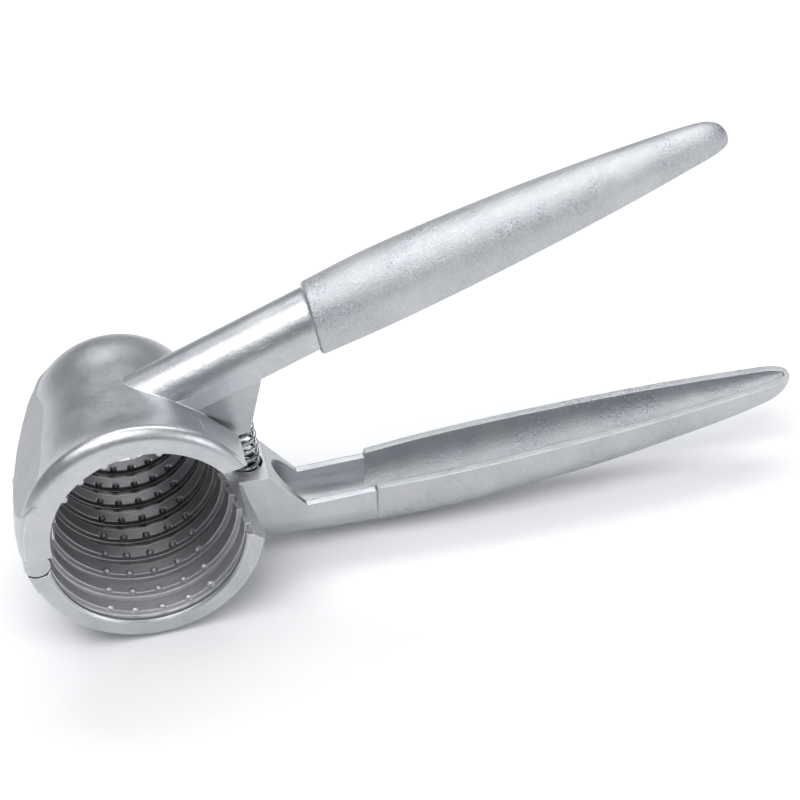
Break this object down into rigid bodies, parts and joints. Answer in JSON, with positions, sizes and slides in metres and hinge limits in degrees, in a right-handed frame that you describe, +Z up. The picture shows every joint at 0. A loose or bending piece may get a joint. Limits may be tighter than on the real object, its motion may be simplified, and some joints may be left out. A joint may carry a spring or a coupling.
{
  "type": "walnut cracker",
  "caption": "Plier-type walnut cracker: hinged cast halves form a toothed tapering ring, with long grips held open by a coil spring.",
  "frame": {"origin": "middle of the bounding box, at the height of the table the tool lies on", "axes": "+X from the toothed ring towards the grip tips, +Y along the ring's bore away from its mouth, +Z up"},
  "size_m": [0.1666, 0.045, 0.0824],
  "materials": {
    "cast_aluminium": "satin",
    "pin_steel": "satin",
    "spring_steel": "polished"
  },
  "bodies": {
    "lower": {"lower_half": "cast_aluminium", "return_spring": "spring_steel"},
    "upper": {"upper_half": "cast_aluminium", "hinge_pin": "pin_steel"}
  },
  "joints": [
    {"name": "handle_hinge", "type": "hinge", "parent": "lower", "child": "upper", "pos_m": [-0.0803, -0.0029, 0.02448], "axis": [0, 1, 0], "range_deg": [0, 12], "stiffness_Nm_per_rad": 4, "springref_deg": -2.29, "deforming": ["return_spring"]}
  ]
}
